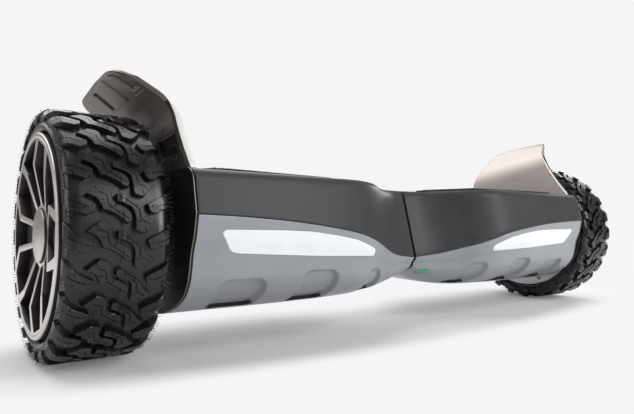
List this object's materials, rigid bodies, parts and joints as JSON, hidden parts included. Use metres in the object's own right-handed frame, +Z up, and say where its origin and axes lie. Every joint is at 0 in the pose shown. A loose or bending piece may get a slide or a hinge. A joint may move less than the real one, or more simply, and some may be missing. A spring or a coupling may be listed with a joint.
{
  "type": "self-balancing board",
  "caption": "Two-wheeled self-balancing hoverboard with off-road tyres, hub motors, folded metal fenders and a body in two halves that twist about a centre pivot.",
  "frame": {"origin": "on the ground, midway between the wheels, under the axle line", "axes": "+X along the axle towards the rider's right wheel as seen from behind the lights, -Y the way the lights face, +Z up"},
  "size_m": [0.7564, 0.2006, 0.2365],
  "materials": {
    "battery_pack_finish": "blue heat-shrink wrap",
    "button_housing_finish": "black plastic",
    "charge_port_finish": "black plastic",
    "charge_port_cap_finish": "soft black rubber",
    "control_board_finish": "circuit board",
    "heat_sink_finish": "extruded aluminium",
    "left_axle_finish": "turned steel",
    "left_axle_clamp_finish": "cast aluminium",
    "left_chassis_finish": "cast aluminium",
    "left_clamp_screw_1_finish": "dark steel",
    "left_clamp_screw_2_finish": "dark steel",
    "left_fender_liner_finish": "dark moulded plastic",
    "left_fender_skin_finish": "brushed champagne metal",
    "left_foot_pad_finish": "textured black rubber",
    "left_foot_switch_finish": "circuit board",
    "left_headlight_lens_finish": "opal white light diffuser",
    "left_hub_cap_finish": "satin metal",
    "left_hub_shell_finish": "dark coated cast aluminium",
    "left_lower_cover_finish": "satin silver grey moulded plastic",
    "left_magnet_ring_finish": "steel ring with magnets",
    "left_motor_cable_finish": "black cable sheath",
    "left_motor_cover_finish": "pale machined aluminium",
    "left_motor_cover_screw_1_finish": "dark steel",
    "left_motor_cover_screw_2_finish": "dark steel",
    "left_stator_finish": "copper windings on an iron core",
    "left_tyre_finish": "charcoal rubber with off-road lugs",
    "left_upper_cover_finish": "satin dark grey moulded plastic",
    "left_wheel_bearing_1_finish": "ground steel",
    "left_wheel_bearing_2_finish": "ground steel",
    "left_wheel_cover_finish": "two-tone machined and dark metal",
    "pivot_bush_finish": "bearing bronze",
    "pivot_collar_finish": "turned steel",
    "pivot_tube_finish": "turned steel",
    "power_button_finish": "satin metal",
    "right_axle_finish": "turned steel",
    "right_axle_clamp_finish": "cast aluminium",
    "right_chassis_finish": "cast aluminium",
    "right_clamp_screw_1_finish": "dark steel",
    "right_clamp_screw_2_finish": "dark steel",
    "right_fender_liner_finish": "dark moulded plastic",
    "right_fender_skin_finish": "brushed champagne metal",
    "right_foot_pad_finish": "textured black rubber",
    "right_foot_switch_finish": "circuit board",
    "right_headlight_lens_finish": "opal white light diffuser",
    "right_hub_cap_finish": "satin metal",
    "right_hub_shell_finish": "dark coated cast aluminium",
    "right_lower_cover_finish": "satin silver grey moulded plastic",
    "right_magnet_ring_finish": "steel ring with magnets",
    "right_motor_cable_finish": "black cable sheath",
    "right_motor_cover_finish": "pale machined aluminium",
    "right_motor_cover_screw_1_finish": "dark steel",
    "right_motor_cover_screw_2_finish": "dark steel",
    "right_stator_finish": "copper windings on an iron core",
    "right_tyre_finish": "charcoal rubber with off-road lugs",
    "right_upper_cover_finish": "satin dark grey moulded plastic",
    "right_wheel_bearing_1_finish": "ground steel",
    "right_wheel_bearing_2_finish": "ground steel",
    "right_wheel_cover_finish": "two-tone machined and dark metal",
    "status_light_finish": "green translucent plastic"
  },
  "bodies": {
    "left_board": {"left_upper_cover": "left_upper_cover_finish", "left_lower_cover": "left_lower_cover_finish", "left_headlight_lens": "left_headlight_lens_finish", "left_fender_skin": "left_fender_skin_finish", "left_fender_liner": "left_fender_liner_finish", "left_chassis": "left_chassis_finish", "left_axle": "left_axle_finish", "left_axle_clamp": "left_axle_clamp_finish", "left_clamp_screw_1": "left_clamp_screw_1_finish", "left_clamp_screw_2": "left_clamp_screw_2_finish", "left_stator": "left_stator_finish", "left_foot_switch": "left_foot_switch_finish", "left_motor_cable": "left_motor_cable_finish", "control_board": "control_board_finish", "heat_sink": "heat_sink_finish", "pivot_tube": "pivot_tube_finish", "pivot_collar": "pivot_collar_finish"},
    "right_board": {"right_upper_cover": "right_upper_cover_finish", "right_lower_cover": "right_lower_cover_finish", "right_headlight_lens": "right_headlight_lens_finish", "right_fender_skin": "right_fender_skin_finish", "right_fender_liner": "right_fender_liner_finish", "right_chassis": "right_chassis_finish", "right_axle": "right_axle_finish", "right_axle_clamp": "right_axle_clamp_finish", "right_clamp_screw_1": "right_clamp_screw_1_finish", "right_clamp_screw_2": "right_clamp_screw_2_finish", "right_stator": "right_stator_finish", "right_foot_switch": "right_foot_switch_finish", "right_motor_cable": "right_motor_cable_finish", "battery_pack": "battery_pack_finish", "button_housing": "button_housing_finish", "charge_port": "charge_port_finish", "status_light": "status_light_finish", "pivot_bush": "pivot_bush_finish"},
    "left_wheel": {"left_tyre": "left_tyre_finish", "left_hub_shell": "left_hub_shell_finish", "left_magnet_ring": "left_magnet_ring_finish", "left_motor_cover": "left_motor_cover_finish", "left_motor_cover_screw_1": "left_motor_cover_screw_1_finish", "left_motor_cover_screw_2": "left_motor_cover_screw_2_finish", "left_wheel_bearing_1": "left_wheel_bearing_1_finish", "left_wheel_bearing_2": "left_wheel_bearing_2_finish", "left_wheel_cover": "left_wheel_cover_finish", "left_hub_cap": "left_hub_cap_finish"},
    "right_wheel": {"right_tyre": "right_tyre_finish", "right_hub_shell": "right_hub_shell_finish", "right_magnet_ring": "right_magnet_ring_finish", "right_motor_cover": "right_motor_cover_finish", "right_motor_cover_screw_1": "right_motor_cover_screw_1_finish", "right_motor_cover_screw_2": "right_motor_cover_screw_2_finish", "right_wheel_bearing_1": "right_wheel_bearing_1_finish", "right_wheel_bearing_2": "right_wheel_bearing_2_finish", "right_wheel_cover": "right_wheel_cover_finish", "right_hub_cap": "right_hub_cap_finish"},
    "left_pad": {"left_foot_pad": "left_foot_pad_finish"},
    "right_pad": {"right_foot_pad": "right_foot_pad_finish"},
    "button": {"power_button": "power_button_finish"},
    "port_cap": {"charge_port_cap": "charge_port_cap_finish"}
  },
  "joints": [
    {"name": "board_twist", "type": "hinge", "parent": "left_board", "child": "right_board", "pos_m": [0, 0, 0.1], "axis": [1, 0, 0], "range_deg": [-10, 10]},
    {"name": "left_wheel_spin", "type": "hinge", "parent": "left_board", "child": "left_wheel", "pos_m": [-0.3407, 0, 0.1], "axis": [1, 0, 0], "continuous": true},
    {"name": "right_wheel_spin", "type": "hinge", "parent": "right_board", "child": "right_wheel", "pos_m": [0.3407, 0, 0.1], "axis": [1, 0, 0], "continuous": true},
    {"name": "left_pad_press", "type": "slide", "parent": "left_board", "child": "left_pad", "axis": [0, 0, -1], "range_m": [0, 0.0014], "stiffness_N_per_m": 30000},
    {"name": "right_pad_press", "type": "slide", "parent": "right_board", "child": "right_pad", "axis": [0, 0, -1], "range_m": [0, 0.0014], "stiffness_N_per_m": 30000},
    {"name": "power_button_press", "type": "slide", "parent": "right_board", "child": "button", "axis": [0, -1, 0], "range_m": [0, 0.0015], "stiffness_N_per_m": 800},
    {"name": "charge_cap_hinge", "type": "hinge", "parent": "right_board", "child": "port_cap", "pos_m": [0.0741, 0.08766, 0.076], "axis": [0, 0, 1], "range_deg": [0, 120]}
  ]
}
